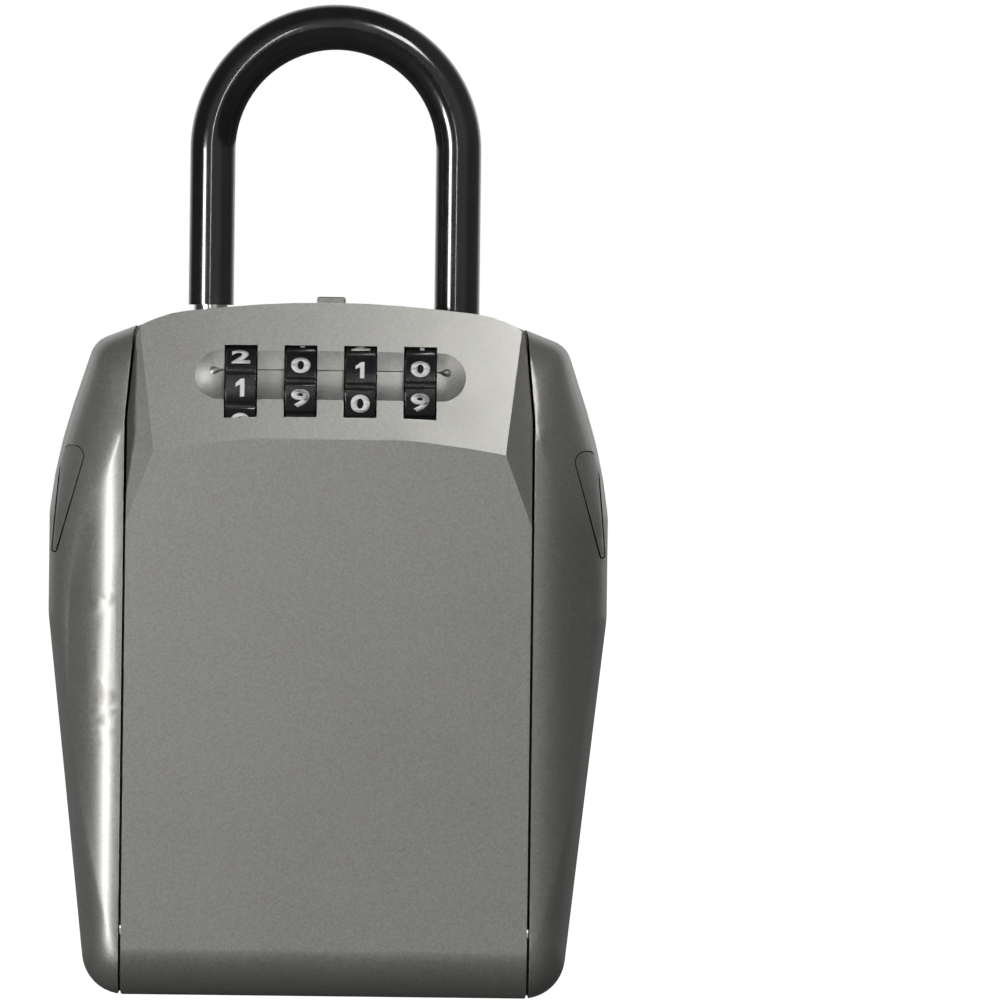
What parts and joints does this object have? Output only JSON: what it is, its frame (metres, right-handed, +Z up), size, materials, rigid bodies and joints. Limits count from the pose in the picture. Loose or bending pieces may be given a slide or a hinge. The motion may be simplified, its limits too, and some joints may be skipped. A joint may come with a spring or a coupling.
{
  "type": "key lock box",
  "caption": "Winged metal key box with a hinged front door, number dials across a leaning face, a push-down release tab and a black-sleeved locking shackle on top.",
  "frame": {"origin": "middle of the footprint on the surface that the box stands on", "axes": "+Z up along the box's height, -Y out of the door, +X to the right of someone facing the door"},
  "size_m": [0.105, 0.048, 0.187],
  "materials": {
    "case_paint": "satin metallic grey paint with a fine grain",
    "door_paint": "satin metallic grey paint with a fine grain",
    "grip_paint": "satin metallic grey paint with a fine grain",
    "bare_zinc": "bare cast zinc, matt",
    "steel": "bright zinc-plated steel",
    "shackle_steel": "polished hardened steel",
    "spring_steel": "spring wire",
    "sleeve_vinyl": "gloss black vinyl",
    "dial_black": "gloss black with white numbers",
    "cam_brass": "machined brass",
    "spring_brass": "rolled spring brass"
  },
  "bodies": {
    "case": {"case_shell": "case_paint", "side_grip_left": "grip_paint", "side_grip_right": "grip_paint", "lock_housing": "bare_zinc", "lock_cover": "case_paint", "cover_rivets": "case_paint", "hinge_pin": "steel", "hinge_spring_left": "spring_steel", "hinge_spring_right": "spring_steel", "bolt_spring": "spring_steel"},
    "door": {"door_shell": "door_paint", "mechanism_cover": "bare_zinc", "cover_screws": "steel", "dial_shaft": "steel", "detent_spring": "spring_brass", "slider_springs": "spring_steel"},
    "dial_1": {"dial_wheel_1": "dial_black", "dial_cam_1": "cam_brass"},
    "dial_2": {"dial_wheel_2": "dial_black", "dial_cam_2": "cam_brass"},
    "dial_3": {"dial_wheel_3": "dial_black", "dial_cam_3": "cam_brass"},
    "dial_4": {"dial_wheel_4": "dial_black", "dial_cam_4": "cam_brass"},
    "latch": {"latch_slider": "steel", "release_tab": "door_paint"},
    "reset": {"reset_lever": "steel"},
    "shackle": {"shackle_bar": "shackle_steel", "shackle_sleeve": "sleeve_vinyl", "retaining_collar": "steel"},
    "bolt": {"shackle_bolt": "steel"},
    "release": {"release_pin": "steel"}
  },
  "joints": [
    {"name": "door_hinge", "type": "hinge", "parent": "case", "child": "door", "pos_m": [0, -0.008, 0.005], "axis": [1, 0, 0], "range_deg": [0, 98], "deforming": ["hinge_spring_left", "hinge_spring_right"]},
    {"name": "dial_1_spin", "type": "hinge", "parent": "door", "child": "dial_1", "pos_m": [-0.0168, -0.01282, 0.1127], "axis": [1, 0, 0], "continuous": true},
    {"name": "dial_2_spin", "type": "hinge", "parent": "door", "child": "dial_2", "pos_m": [-0.0056, -0.01282, 0.1127], "axis": [1, 0, 0], "continuous": true},
    {"name": "dial_3_spin", "type": "hinge", "parent": "door", "child": "dial_3", "pos_m": [0.0056, -0.01282, 0.1127], "axis": [1, 0, 0], "continuous": true},
    {"name": "dial_4_spin", "type": "hinge", "parent": "door", "child": "dial_4", "pos_m": [0.0168, -0.01282, 0.1127], "axis": [1, 0, 0], "continuous": true},
    {"name": "latch_slide", "type": "slide", "parent": "door", "child": "latch", "axis": [0, 0, -1], "range_m": [0, 0.0017], "stiffness_N_per_m": 300, "springref_m": -0.004, "deforming": ["slider_springs"]},
    {"name": "reset_slide", "type": "slide", "parent": "door", "child": "reset", "axis": [1, 0, 0], "range_m": [0, 0.003]},
    {"name": "shackle_lift", "type": "slide", "parent": "case", "child": "shackle", "axis": [0, 0, 1], "range_m": [0, 0.035]},
    {"name": "release_press", "type": "slide", "parent": "case", "child": "release", "axis": [0, 0, 1], "range_m": [0, 0.0022], "stiffness_N_per_m": 400, "springref_m": -0.003},
    {"name": "bolt_draw", "type": "slide", "parent": "case", "child": "bolt", "axis": [-1, 0, 0], "range_m": [0, 0.0022], "deforming": ["bolt_spring"]}
  ],
  "couplings": [
    {"joint": "bolt_draw", "follows": "release_press", "ratio": 1}
  ]
}
